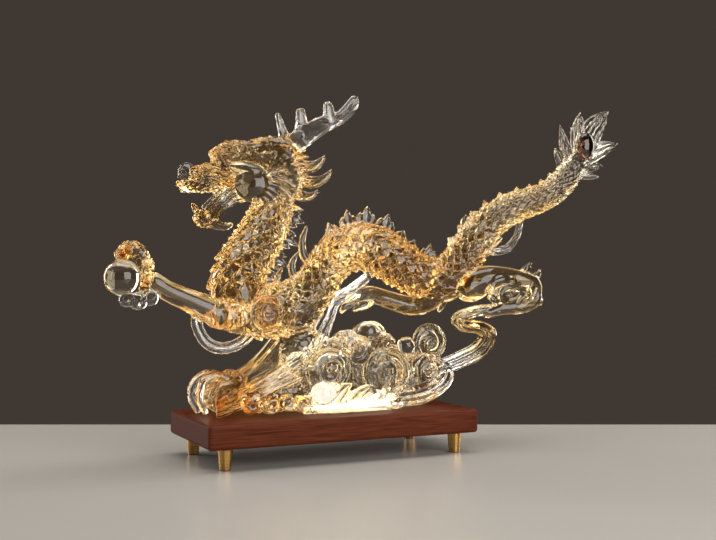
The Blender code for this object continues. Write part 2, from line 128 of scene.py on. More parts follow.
# Glass colours against half the tint
CAST_TINTS = [
    (0.0, (0.98, 0.97, 0.95)), (0.10, (0.93, 0.82, 0.57)), (0.25, (0.88, 0.58, 0.20)),
    (0.40, (0.82, 0.40, 0.08)), (0.60, (0.48, 0.15, 0.04)), (1.0, (0.06, 0.02, 0.01)),
]
PEARL_TINTS = [(0.0, (0.92, 0.80, 0.60)), (1.0, (0.88, 0.74, 0.50))]

# Wood from its dark pores to its lightest grain, and brass from groove to ridge
WALNUT_COLOURS = [
    (0.3, (0.046, 0.010, 0.004)), (0.5, (0.082, 0.019, 0.008)), (0.75, (0.120, 0.030, 0.012)),
]
BRASS_COLOURS = [(0.0, (0.28, 0.15, 0.04)), (1.0, (0.50, 0.30, 0.10))]

# Spines of the scaled neck and body, and their tints from end to end
NECK = [
    (-37, 4, 201, 9), (-41, 3, 189, 12.5), (-45, 2, 173, 16), (-53, 0, 156, 18.5),
    (-64, -2, 138, 20), (-75, -3, 121, 21.5), (-80, -3, 104, 22), (-76, -2, 91, 19),
]
BODY = [
    (-82, -2, 97, 19), (-61, -3, 86, 22), (-41, -4, 86, 22), (-25, -4, 92, 20.5),
    (-14, -4, 101, 18.5), (-6, -3, 111, 17.5), (2, -2, 122, 17.5), (16, 1, 134, 18.5),
    (37, 5, 138.5, 20), (56.5, 6, 134, 20),
    (74, 5, 123.5, 19.5), (91.5, 3, 114, 18), (110, 0, 111, 17), (127, -2, 119, 18),
    (139.5, -4, 136, 16.5), (150.5, -6, 152, 15.5), (165, -8, 165, 14.5), (183, -10, 175, 13.5),
    (202, -12, 180.5, 12.5), (219, -14, 188, 12), (234, -15, 200, 11.5), (245, -16, 214, 9.5),
    (251, -17, 226, 6.5),
]
NECK_TINTS = [GOLD, GOLD, GOLD, AMBER]
BODY_TINTS = [GOLD, GOLD, 0.55, 0.75, AMBER, GOLD, GOLD, PALE]

# Scales: length of a row at the thickest place, how many go round, relief as a share of the
# radius, and the points in one ring of the tube
SCALE_PITCH = 8.4
SCALES_ROUND = 12
SCALE_RELIEF = 0.26
SIDES_ROUND = 240

# Fins: x and height of each tip, and its width
NECK_FINS = [(-17, 158, 15), (-23, 138.5, 14), (-33, 121, 13), (-41, 105, 12)]
BODY_FINS = [
    (3, 160, 14), (22, 171.5, 19), (43, 175, 20), (64.5, 168.5, 18), (79.5, 153.5, 20),
    (89, 145.5, 15), (104, 142, 14), (117, 147, 14), (127, 152.5, 14), (136, 160.5, 13),
    (139, 171, 11),
]

# Spines along the tail, which they line between two shares of the body's length
TAIL_SPINES = 9
TAIL_SPINE_HEIGHT = 5.5
TAIL_SPINE_RUN = (0.66, 0.93)

# Ruff of leaves round the tail's root, by x and height
RUFF_AT = (146, 145)
RUFF_LEAVES = 8

# The head is drawn in profile: forward from its hinge, out to one side, and up
HEAD_PIVOT = (-40.5, 2, 189.5)
HEAD_TURN = math.radians(25)
CHEEK_AT = (21.5, 0.6)

# Leaves of the tail fin: root, tip and width
TAIL_LOBES = [
    ((243, -17, 208), (224, -22, 251), 15), ((240, -15, 204), (225, -12, 231), 13),
    ((248, -19, 224), (249, -19, 264), 20), ((252, -16, 224), (286, -12, 267.4), 29),
    ((252, -18, 218), (290, -22, 236), 19), ((251, -15, 210), (281, -11, 215), 12),
    ((247, -17, 205), (270, -20, 203), 10),
]

# Limbs, streamers and locks of hair as bars
NEAR_ARM = [
    (-46, -15, 86, 13), (-58, -17, 83.5, 14), (-83, -20, 81, 12.5), (-106, -24, 86.5, 11),
    (-128, -27, 96, 9), (-146, -29, 104, 8), (-156.5, -30, 111, 7.6),
]
FAR_FORELEG = [
    (-16, 8, 84, 14), (-25, 12, 67, 12.5), (-39, 15, 49.5, 11), (-54, 17, 34.5, 10.5),
    (-68, 18, 25, 11),
]
NEAR_HIND_LEG = [
    (134, -14, 104, 12), (148, -19, 110, 12), (164, -22, 112, 9), (181, -25, 110, 7.5),
    (193, -26, 107, 6.5), (196.5, -26, 98, 5), (194, -26, 89, 5.5), (180, -26, 85.5, 6.5),
    (160, -26, 84, 6), (146, -25, 80, 4.5),
]
FAR_HIND_LEG = [
    (120, 10, 106, 12), (108, 17, 92, 12), (95, 21, 86, 9), (74, 23, 91, 8),
    (52, 23, 97, 7.5), (40, 24, 93, 6),
]
FOOT_RIBBON = [
    (94, 4, 26, 7.5), (112, 4, 30, 7.5), (132, 0, 37, 8), (150, -4, 46, 8.5), (156, -10, 59, 8.5),
    (144, -14, 67, 7), (126, -18, 69.5, 6.5), (118, -22, 76, 6), (133, -24, 81.5, 5.5),
    (156, -25, 84, 5), (172, -25, 88, 4.5),
]
BELLY_STREAMER = [
    (46, 11, 112, 4.5), (28, 9, 100.5, 5), (13, 8, 91, 6), (5, 6, 76, 7), (-4, 4, 61, 9),
    (-12, 3, 48, 11),
]
LOW_RIBBON = [
    (56, -10, 6, 6.5), (86, -10, 9, 8.5), (108, -7, 17, 8.5), (116, -4, 28, 7), (107, 0, 37, 5),
]
TAIL_LOCK = [
    (189, -11, 166, 3), (184, -14, 150, 3.2), (171, -16, 137, 3.4), (154, -16, 136, 3.8),
    (139, -14, 146, 4.5),
]
ELBOW_LOCK = [
    (-119, -26, 90, 4), (-121, -26, 78, 4), (-115, -27, 64.5, 4), (-104, -27, 58, 4),
    (-90, -26, 59, 4), (-77, -23, 66, 4), (-70, -20, 75, 4),
]

# Clouds: egg shapes by centre and half sizes, scrolls by centre and radius, and clear balls
CLOUD_MASSES = [
    ((42, 8, 30), (36, 20, 36)), ((4, 8, 26), (36, 20, 34)), ((82, 6, 22), (28, 15, 24)),
    ((-38, 8, 14), (34, 17, 18)), ((-20, 5, 50), (20, 14, 24)), ((44, 12, 58), (15, 12, 14)),
    ((24, 11, 54), (13, 11, 12)), ((62, 14, 50), (13, 10, 13)),
]
CLOUD_SCROLLS = [
    ((105, 7, 53), 17), ((96, -6, 30), 15.5), ((52, -14, 31), 22), ((-1, -12, 34), 20),
    ((-29, -8, 40), 10), ((26, -11, 51), 12.5), ((46, 4, 60), 14), ((62, 22, 36), 19),
    ((12, 23, 40), 18), ((-24, 20, 26), 13), ((94, 17, 30), 14),
]
CLOUD_BALLS = [(20, -6, 60, 8), (-9, -18, 15, 10.5), (78, 0, 52, 8), (43, 6, 64, 10)]

# Foot of the clouds: leaves by root, tip and width, and bars that sweep along the plinth
BASE_LOBES = [
    ((-3, -22, 6), (18, -19, 24), 15), ((12, -22, 6), (38, -19, 21), 13),
    ((-22, -20, 3), (-13, -17, 20), 13),
    ((4, 26, 3), (-12, 26, 22), 17), ((30, 27, 3), (14, 27, 24), 18), ((56, 25, 3), (40, 26, 22), 17),
]
BASE_SWEEPS = [
    [(12, -24, 5, 3.4), (30, -24, 8, 3.6), (46, -22, 15, 3.2), (56, -19, 27, 2.4)],
    [(30, -24, 4, 3.4), (50, -22, 8, 3.4), (66, -18, 18, 2.6)],
    [(-26, -23, 3, 3.5), (0, -25, 3.5, 4.5), (30, -25, 3.5, 4.5), (60, -22, 4, 4)],
    [(-16, -21, 6, 3), (-4, -22, 12, 3.2), (4, -21, 22, 2.6)],
]

# Knuckles and curls beside the standing paw: centre, radius and tint
TOE_ROW = [
    ((-70, -9, 9), 8.5, 1.1), ((-54, -12, 8), 8, 1.2), ((-40, -14, 10), 7, 0.9),
    ((-28, -15, 8), 7, 0.6), ((-62, 22, 10), 9, 0.9), ((-44, 24, 9), 9, 0.7),
]


class Casting:
    """Closed skins laid one into another, before they are fused. Points are drawn millimetres."""

    def __init__(self):
        self.points, self.quads, self.triangles, self.tints = [], [], [], []
        self.count = 0

    def add(self, points, quads, triangles, tint):
        """Corners are counted from this form's own first point."""
        points = np.asarray(points, float).reshape(-1, 3)
        tint = np.broadcast_to(np.asarray(tint, float), (len(points),))
        self.points.append(points)
        self.quads.append(np.asarray(quads, int).reshape(-1, 4) + self.count)
        self.triangles.append(np.asarray(triangles, int).reshape(-1, 3) + self.count)
        self.tints.append(tint)
        self.count += len(points)

    def loft(self, rings, start, end, tint, shade=0.0):
        """Rings of points, as rows by sides by 3, closed by a point at either end.

        A list of tints is spread from the first ring to the last, and painted shade is added to it.
        """
        rows, sides = rings.shape[:2]
        index = np.arange(rows * sides).reshape(rows, sides)
        following = np.roll(index, -1, axis=1)
        quads = np.stack([index[:-1], following[:-1], following[1:], index[1:]], axis=-1)
        first, last = rows * sides, rows * sides + 1
        head = np.stack([following[0], index[0], np.full(sides, first)], axis=-1)
        tail = np.stack([index[-1], following[-1], np.full(sides, last)], axis=-1)
        if np.ndim(tint) == 1:
            tint = np.interp(np.linspace(0, 1, rows), np.linspace(0, 1, len(tint)), tint)
        tint = np.broadcast_to(np.atleast_1d(tint)[:, None], (rows, sides)) + shade
        tint = np.concatenate([tint.ravel(), [tint[0, 0], tint[-1, 0]]])
        self.add(np.concatenate([rings.reshape(-1, 3), [start, end]]), quads,
                 np.concatenate([head, tail]), tint)


def swirls(points, size):
    """Winding ridges, 0 in the grooves and 1 on the crests, about size millimetres apart."""
    x, y, z = np.moveaxis(points, -1, 0) * (2 * math.pi / size)
    along = x * 0.8 + 0.6 * y + 1.4 * np.sin(0.45 * z + 1.2 * np.sin(0.4 * y))
    across = z + 0.3 * y + 1.4 * np.sin(0.5 * x + 0.9 * np.sin(0.35 * y + 2))
    return 1 - np.abs(np.sin(0.5 * along + 1.5 * np.cos(0.5 * across)))


def smooth_path(points, step):
    """Samples of a smooth curve through drawn points: x, y, height and radius in each row."""
    knots = np.array(points, float)
    knots = np.vstack([2 * knots[0] - knots[1], knots, 2 * knots[-1] - knots[-2]])
    rows = []
    for before, start, end, after in zip(knots, knots[1:], knots[2:], knots[3:]):
        pieces = max(1, round(np.linalg.norm((end - start)[:3]) / step))
        t = (np.arange(pieces) / pieces)[:, None]
        rows.append(0.5 * (2 * start + t * (end - before)
                           + t ** 2 * (2 * before - 5 * start + 4 * end - after)
                           + t ** 3 * (3 * start - before - 3 * end + after)))
    return np.vstack([*rows, knots[-2][None]])


def frames_along(samples):
    """Unit tangent, sideways and outward directions at each sample, turning as little as can be."""
    tangents = np.gradient(samples[:, :3], axis=0)
    tangents /= np.linalg.norm(tangents, axis=1)[:, None]
    sides = np.empty_like(tangents)
    side = np.array((0.0, 1.0, 0.0))
    for i, tangent in enumerate(tangents):
        side = side - tangent * side.dot(tangent)
        side = side / np.linalg.norm(side)
        sides[i] = side
    return tangents, sides, np.cross(tangents, sides)


def angles_round(sides):
    return np.linspace(0, 2 * math.pi, sides, endpoint=False)


def carved(rings, away, carve):
    """Rings pushed out along away by winding ridges, and the painted shade that darkens the grooves and
    lightens the crests.
    """
    ridges = swirls(rings, CARVING_SIZE)
    return rings + away * (carve * (ridges - 0.4))[..., None], GROOVE_PAINTED_SHADE * (0.5 - ridges)


def sweep(skin, points, tint, wide=1.0, tall=1.0, strands=0, depth=0.35, carve=0.0):
    """A bar along a spine, with rounded ends and its girth scaled sideways and outwards.

    strands cuts its faces into parallel cords, as deep as depth, and carve adds winding ridges with
    painted shade in their grooves.
    """
    samples = smooth_path(points, FINE_STEP)
    tangents, across, out = frames_along(samples)
    radius = samples[:, 3]
    angle = angles_round(max(16, int(2 * math.pi * radius.max() / FINE_STEP)))
    flat = np.cos(angle) * wide
    if strands:
        grooves = np.cos(math.pi * strands * (np.sin(angle) + 1) / 2) ** 2
        flat = flat * (1 - depth * grooves)
    offsets = (across[:, None] * (radius[:, None] * flat)[..., None]
               + out[:, None] * (radius[:, None] * np.sin(angle) * tall)[..., None])
    rings = samples[:, None, :3] + offsets
    shade = 0.0
    if carve:
        away = offsets / np.maximum(np.linalg.norm(offsets, axis=-1), 0.1)[..., None]
        rings, shade = carved(rings, away, carve)
        shade = np.pad(shade, ((len(CAP_LIFTS), len(CAP_LIFTS)), (0, 0)))
    reach = radius * 0.9 * min(wide, tall)
    start = samples[0, :3] - tangents[0] * reach[0]
    end = samples[-1, :3] + tangents[-1] * reach[-1]
    rings = np.concatenate([
        end_cap(rings[0], samples[0, :3], start)[::-1], rings,
        end_cap(rings[-1], samples[-1, :3], end),
    ])
    skin.loft(rings, start, end, tint, shade)


def end_cap(ring, middle, tip):
    """Rings that round a bar off from its last ring towards its tip."""
    return np.array([
        middle + (tip - middle) * math.sin(lift) + (ring - middle) * math.cos(lift)
        for lift in CAP_LIFTS
    ])


def ball(skin, centre, radii, tint, turn=0.0, tilt=0.0, carve=0.0):
    """An egg shape with its own half sizes, tilted about y, then turned about the upright axis."""
    x, y, z = radii
    angle = angles_round(max(16, int(2 * math.pi * max(x, y) / FINE_STEP)))
    rows = max(8, int(math.pi * max(radii) / FINE_STEP))
    lift = np.linspace(-math.pi / 2, math.pi / 2, rows + 1)[1:-1]
    unit = np.stack([
        np.cos(lift)[:, None] * np.cos(angle), np.cos(lift)[:, None] * np.sin(angle),
        np.repeat(np.sin(lift)[:, None], len(angle), axis=1),
    ], axis=-1)
    spin = np.array(Matrix.Rotation(turn, 3, "Z") @ Matrix.Rotation(tilt, 3, "Y"))
    rings = (unit * (x, y, z)) @ spin.T + centre
    shade = 0.0
    if carve:
        away = (unit / (x, y, z)) @ spin.T
        away /= np.linalg.norm(away, axis=-1)[..., None]
        rings, shade = carved(rings, away, carve)
    pole = spin @ (0, 0, z)
    skin.loft(rings, centre - pole, centre + pole, tint, shade)


def head_point(forward, side, up):
    """A point of the head's profile drawing as a drawn point of the figure."""
    ahead = np.array((-math.cos(HEAD_TURN), math.sin(HEAD_TURN), 0))
    beside = np.array((-math.sin(HEAD_TURN), -math.cos(HEAD_TURN), 0))
    return np.array(HEAD_PIVOT) + ahead * forward + beside * side + np.array((0, 0, up))


def head_spine(points):
    return [(*head_point(*point[:3]), point[3]) for point in points]


def head_ball(skin, centre, radii, tint, tilt=0.0, carve=0.0):
    """An egg shape on the head: half sizes forward, sideways and up; tilt lifts its front."""
    ball(skin, head_point(*centre), radii, tint, -HEAD_TURN, tilt, carve)


def leaf(skin, root, tip, width, tint, thick, across=(0, 1, 0), veins=0, bend=0.0):
    """A leaf-shaped blade: widest a third of the way up, thin at its edges, with raised veins.

    across points out of its flat side, and bend bows its middle line towards one edge.
    """
    root, tip = np.array(root, float), np.array(tip, float)
    length = np.linalg.norm(tip - root)
    up = (tip - root) / length
    flat = np.array(across, float)
    flat = flat - up * flat.dot(up)
    flat /= np.linalg.norm(flat)
    edge = np.cross(up, flat)
    share = np.linspace(0, 1, max(8, int(length / FINE_STEP)))[:-1]
    girth = 0.75 * (1 - share) ** 0.55 * (1 + 1.3 * share) * (1 - share ** 6)
    girth = np.maximum(girth, 0.05)
    angle = angles_round(max(20, int(2.6 * width / FINE_STEP)))
    through = np.sin(angle)
    if veins:
        through = through * (1 - 0.75 * np.cos(math.pi * veins * (np.cos(angle) + 1) / 2) ** 2)
    middle = root + share[:, None] * (tip - root)
    middle = middle + edge * (bend * np.sin(math.pi * share))[:, None]
    rings = (middle[:, None] + edge * (girth[:, None] * np.cos(angle) * width / 2)[..., None]
             + flat * (np.sqrt(girth)[:, None] * through * thick / 2)[..., None])
    skin.loft(rings, root - up * 0.3, tip, tint)


def frill(skin, root, tip, width, across, tint):
    """A fin of three leaves that spread from one root, the middle one the longest."""
    root, tip = np.array(root, float), np.array(tip, float)
    rise = tip - root
    sideways = np.cross(rise, across)
    sideways *= np.linalg.norm(rise) / np.linalg.norm(sideways)
    for lean, share in ((-0.42, 0.72), (0.42, 0.72), (0.0, 1.0)):
        leaf(skin, root + sideways * lean * 0.25, root + rise * share + sideways * lean * share,
             width * (0.42 + 0.16 * share), tint, 4.0, across, bend=lean * width * 0.2)


def shingles(row, column):
    """Height from 0 to 1 of overlapping pointed scales, each rising to its free edge."""
    reach, shoulder = 1.8, 0.7
    height = np.zeros(np.broadcast(row, column).shape)
    for back in (0, 1):
        scale_row = np.floor(row) - back
        offset = column - 0.5 * np.mod(scale_row, 2)
        sideways = 2 * np.abs(offset - np.round(offset))
        forward = row - scale_row
        tip = shoulder + (reach - shoulder) * (1 - sideways ** 1.3)
        rise = 0.15 + 0.75 * forward / reach - 0.22 * sideways ** 2
        rim = 0.18 * np.exp(-((tip - forward - 0.09) / 0.08) ** 2)
        height = np.maximum(height, np.where(forward < tip, rise + rim, 0))
    return height


def scaled_tube(skin, points, tint):
    """The round body under overlapping scales, which shrink with its girth, with painted shade at their
    roots.
    """
    samples = smooth_path(points, SCALE_STEP)
    tangents, across, out = frames_along(samples)
    radius = samples[:, 3]
    steps = np.linalg.norm(np.diff(samples[:, :3], axis=0), axis=1)
    girth = radius / radius.max()
    pitch = SCALE_PITCH * (girth[1:] + girth[:-1]) / 2
    row = np.concatenate([[0], np.cumsum(steps / pitch)])
    angle = angles_round(SIDES_ROUND)
    column = angle / (2 * math.pi) * SCALES_ROUND
    lift = shingles(row[:, None], column[None]) - 0.5
    reach = radius[:, None] * (1 + SCALE_RELIEF * lift)
    rings = (samples[:, None, :3] + across[:, None] * (reach * np.cos(angle))[..., None]
             + out[:, None] * (reach * np.sin(angle))[..., None])
    # Painted shade: the glass is coloured darker where each scale tucks under the one before and lighter
    # on its raised free edge.
    skin.loft(rings, samples[0, :3] - tangents[0] * radius[0] * 0.5,
              samples[-1, :3] + tangents[-1] * radius[-1] * 0.5, tint, -SCALE_PAINTED_SHADE * lift)


def fins_along(skin, spine, fins):
    """Frills that spring from the nearest place on the spine."""
    samples = smooth_path(spine, 2.0)
    _, across, _ = frames_along(samples)
    for x, z, width in fins:
        nearest = np.argmin(np.hypot(samples[:, 0] - x, samples[:, 2] - z))
        here, radius = samples[nearest, :3], samples[nearest, 3]
        tip = np.array((x, here[1], z))
        away = tip - here
        root = here + away * 0.75 * radius / np.linalg.norm(away)
        frill(skin, root, tip, width, across[nearest], CLEAR)


def hooks(skin):
    """Three slender horns that curl up from the back, between the neck and the arch."""
    for path in (
        [(-40, -6, 96, 3.5), (-45.5, -7, 105, 3.2), (-45.5, -7, 113, 2.6), (-41, -6, 120.5, 1.2)],
        [(-26, -6, 108, 3.8), (-32, -7, 116, 3.4), (-32.5, -7, 125, 2.8), (-26.5, -6, 133.5, 1.2)],
        [(-14, -6, 122, 4), (-22, -7, 131, 3.6), (-23.5, -7, 143, 3), (-19, -6, 155, 1.2)],
    ):
        sweep(skin, path, PALE, wide=0.9)


def tail_spines(skin):
    """Small hooked spines that shrink towards the tail fin, and a ruff of clear leaves."""
    samples = smooth_path(BODY, 2.0)
    tangents, across, out = frames_along(samples)
    first, last = (int(len(samples) * share) for share in TAIL_SPINE_RUN)
    for i in range(TAIL_SPINES):
        at = first + (last - first) * i // (TAIL_SPINES - 1)
        here, radius = samples[at, :3], samples[at, 3]
        height = TAIL_SPINE_HEIGHT * (1 - 0.4 * i / TAIL_SPINES)
        leaf(skin, here + out[at] * radius * 0.6,
             here + out[at] * (radius + height) + tangents[at] * 4, 8, GOLD, 4, across[at])
    ruff = np.argmin(np.hypot(samples[:, 0] - RUFF_AT[0], samples[:, 2] - RUFF_AT[1]))
    for i in range(RUFF_LEAVES):
        at = ruff - 1 + 2 * (i % 2)
        around = math.pi * (0.25 + i * 0.23)
        away = across[at] * math.cos(around) + out[at] * math.sin(around)
        radius = samples[at, 3]
        root = samples[at, :3] + away * radius * 0.8
        leaf(skin, root, root + away * (radius * 0.2 + 4) + tangents[at] * 12, 12, CLEAR, 5,
             np.cross(tangents[at], away) + away * 0.2, veins=2)


def spiral(centre, radius, start, turns, outer, inner, thick):
    """Spine points of a flat spiral in the x-z plane, from outer to inner as shares of radius."""
    x, y, z = centre
    points = []
    for share in np.linspace(0, 1, max(12, int(abs(turns) * 16))):
        angle = start + share * turns * 2 * math.pi
        reach = radius * (outer + (inner - outer) * share ** 0.8)
        points.append((x + reach * math.cos(angle), y, z + reach * math.sin(angle),
                       thick * (1 - 0.35 * share)))
    return points


def skull(skin):
    """The carved skull and muzzle with a clear nose ball, and what each side of it carries."""
    head_ball(skin, (20, 0, 13), (27, 12, 17), HONEY, carve=1.8)
    head_ball(skin, (0, 0, 12), (16, 13, 20), HONEY, carve=3.0)
    head_ball(skin, (-8, 0, 2), (11, 12, 16), HONEY, carve=2.6)
    head_ball(skin, (50, 0, 9), (20, 11, 11), HONEY, carve=2.6)
    head_ball(skin, (38, 0, 15), (20, 12, 13), HONEY, carve=2.6)
    head_ball(skin, (62.5, 0, 11), (10, 8, 7), GOLD, carve=1.6)
    head_ball(skin, (64, 0, 4.5), (18, 9.5, 7), GOLD, carve=2.0)
    head_ball(skin, (77.3, 0, 11.5), (8, 9, 8), CLEAR)
    for side in (-1, 1):
        brow(skin, side)
        cheek(skin, side)
        upper_lip(skin, side)
        nostril = [(67.5 + 4.6 * math.cos(a), side * (9.5 - 0.3 * a), 10.5 + 4.6 * math.sin(a), 1.6)
                   for a in np.linspace(-2.6, 2.8, 12)]
        sweep(skin, head_spine(nostril), GOLD)
        for rise in (3, 9, 15):
            crease = [(62, side * 8, rise + 2, 1.4), (53, side * 11, rise + 1, 2.0),
                      (44, side * 12.5, rise - 2, 2.0), (37, side * 12.5, rise - 5, 1.4)]
            sweep(skin, head_spine(crease), 0.6)


def brow(skin, side):
    """Two carved ridges, one over the other, a row of curls, and the small dark eye below."""
    upper = [(55, 25.5, 3.5), (49, 28, 5.5), (40, 30.5, 6.5), (29, 31, 6), (18, 32, 6.5),
             (6, 33.5, 7), (-5, 30.5, 6.5)]
    lower = [(54, 22, 3), (47, 23, 4.5), (36, 23.5, 4.5), (24, 24, 5), (10, 24, 5.5), (-4, 22, 5)]
    sweep(skin, head_spine([(f, side * 6, up, r) for f, up, r in upper]), 0.6, carve=2.4)
    sweep(skin, head_spine([(f, side * 10.5, up, r) for f, up, r in lower]), GOLD, carve=2.6)
    for i in range(8):
        f = 50 - 7 * i
        up = 26 + (0.6 * i) % 2
        curl = [(f + 3.2 * math.cos(a), side * (12.5 + 0.25 * a), up + 4.2 * math.sin(a), 1.5)
                for a in np.linspace(-0.8, 3.9, 9)]
        sweep(skin, head_spine(curl), 0.65 if i % 2 else HONEY)
    head_ball(skin, (43.5, 13 * side, 17.5), (4.2, 3.5, 3.8), GOLD)
    head_ball(skin, (44.2, 16.5 * side, 17), (3, 2.8, 3), BLACK)


def cheek(skin, side):
    """A smooth ball of glass at the jaw's hinge under a smooth lid."""
    forward, up = CHEEK_AT
    head_ball(skin, (forward, 12 * side, up), (14.4, 11.4, 14.2), 0.3)
    head_ball(skin, (25.5, 14.5 * side, 12.4), (14.5, 7.5, 6), PALE, tilt=0.2)


def upper_lip(skin, side):
    """A carved roll along the muzzle, with a row of teeth under it."""
    roll = [(84, 2, 2), (78, 0, 4), (70, 0, 4.8), (61, 0.5, 4.8), (53, -2, 4)]
    sweep(skin, head_spine([(f, side * 5.5, up, r) for f, up, r in roll]), GOLD, carve=2.6)
    for forward in (60, 65.5, 71, 76, 81):
        leaf(skin, head_point(forward, 6 * side, -1), head_point(forward - 0.5, 6.5 * side, -6.5),
             4, PALE, 3.5)


def lower_jaw(skin):
    """The hanging jaw: a strap of strands to a carved chin, its beard, fangs and clear webs."""
    strap = [(22, 0, -4, 9), (36, 0, -7, 8), (46, 0, -14, 6.5), (55, 0, -23, 6.5),
             (64, 0, -28, 6)]
    beard = [(62, 0, -30, 5), (53, 0, -33, 4.2), (45, 0, -34, 3.4), (40, 0, -32.5, 2)]
    sweep(skin, head_spine(strap), [GOLD, PALE, CLEAR, GOLD, AMBER], wide=1.1, strands=4,
          depth=0.3)
    sweep(skin, head_spine(beard), [GOLD, CLEAR], wide=1.5, strands=3)
    head_ball(skin, (63, 0, -27), (8.5, 8.5, 7.5), AMBER, carve=2.0)
    for side in (-1, 1):
        membrane = [(45, side * 7, -2, 2.2), (54, side * 7, -10, 1.8), (63, side * 6, -18, 1.5)]
        sweep(skin, head_spine(membrane), CLEAR)
        leaf(skin, head_point(67, 4 * side, -24), head_point(73, 5 * side, -14), 6, GOLD, 4)


def lock(skin, path, side, tint):
    """A tuft on one side of the head: a curved lobe cut into strands that meet in its tip."""
    spine = [(f, side * (9 + 1.3 * k), up, r) for k, (f, up, r) in enumerate(path)]
    sweep(skin, head_spine(spine), tint, wide=0.75, strands=3, depth=0.5)


def mane(skin):
    """Swept locks behind the cheeks, fine strands that fan round each cheek, and a carved nape."""
    locks = [
        [(6, 24, 7), (-9, 18.5, 6.4), (-24, 15.5, 4.8), (-33, 18.5, 2.8), (-38.5, 24, 0.7)],
        [(5, 12, 7), (-10, 8, 6.4), (-26, 3, 4.8), (-37, 5.5, 2.8), (-44.5, 12.5, 0.7)],
        [(8, 2, 7), (-6, -4, 6), (-19, -8.5, 4.4), (-27, -8.5, 2.4), (-32.5, -4.5, 0.7)],
        [(8, -4, 6), (-2, -12, 5.2), (-11, -18, 3.6), (-19.5, -20, 0.8)],
    ]
    for side in (-1, 1):
        for path in locks:
            lock(skin, path, side, [GOLD, PALE, PALE, CLEAR])
        for i in range(8):
            fall = math.radians(32 - 16 * i)
            start = (CHEEK_AT[0] - 13 * math.cos(fall), CHEEK_AT[1] + 13 * math.sin(fall))
            reach = 25 - 0.8 * i
            strand = [(*head_point(start[0] - reach * t * math.cos(fall - 0.6 * t),
                                   side * (17 - 4 * t),
                                   start[1] + reach * t * math.sin(fall - 0.6 * t)), 2.9 - 1.6 * t)
                      for t in (0, 0.35, 0.7, 1)]
            sweep(skin, strand, 0.6 if i % 2 else 0.35)
        for i in range(6):
            up = 31 - 5.5 * i
            strand = [(6, side * 11, up + 4, 2.6), (-6, side * (11.5 + i % 2), up + 2, 2.8),
                      (-15, side * (8 + i % 3), up - 1, 2.6), (-22 - 2 * (i % 3), side * 4, up - 1, 0.9)]
            sweep(skin, head_spine(strand), [GOLD, 0.6, 0.35], carve=1.4)


def antlers(skin):
    """Two antlers: a beam with three tines on broad roots, flattened from side to side."""
    beam = [(-2, 29, 8), (-13, 35.5, 8.5), (-28, 46, 7.6), (-40, 52.3, 6.4), (-50, 56, 4.8),
            (-57, 62, 5), (-62, 68.5, 4.8), (-63.3, 72.4, 3.4)]
    tines = [
        [(-7, 34, 7), (-3.2, 45, 4.2), (-0.8, 53, 3.0), (0.8, 58.6, 2.4)],
        [(-20, 41, 8), (-19, 50.5, 5.4), (-18.7, 57, 4.6), (-18.2, 62, 3.9)],
        [(-43, 52, 7), (-42, 59.5, 5.4), (-41.4, 64.5, 4.7), (-40.6, 67.6, 3.5)],
    ]
    webs = [[(-13, 39, 5), (-14, 42, 4)], [(-29, 50, 5), (-31, 52, 4)], [(-49, 57, 4), (-50, 59, 3.4)]]
    for side in (-1, 1):
        for path in (beam, *tines, *webs):
            splayed = [(forward, side * (5 + 0.09 * (up - 30)), up, radius)
                       for forward, up, radius in path]
            sweep(skin, head_spine(splayed), CLEAR, wide=0.55)


def tail_fin(skin):
    """Veined clear leaves round a boss tinted nearly black, as painted shade for the dark room seen
    through it.
    """
    for root, tip, width in TAIL_LOBES:
        leaf(skin, root, tip, width, 0.08, 8, veins=max(2, round(width / 5.5)),
             bend=width * 0.12)
    ball(skin, (248, -29, 231.5), (8.5, 6, 12), BOSS_PAINTED_SHADE)


def cords(skin, path, count, turns, thick, tint):
    """Thin raised lines that wind round a bar both ways and cross in diamonds."""
    samples = smooth_path(path, 1.5)
    tangents, across, out = frames_along(samples)
    share = np.linspace(0, 1, len(samples))
    for handed in (-1, 1):
        for i in range(count):
            angle = 2 * math.pi * (handed * turns * share + i / count)
            reach = samples[:, 3] * 0.93
            line = (samples[:, :3] + across * (reach * np.cos(angle))[:, None]
                    + out * (reach * np.sin(angle))[:, None])
            rows = [(*point, thick) for point in line[::3]]
            sweep(skin, rows, tint)


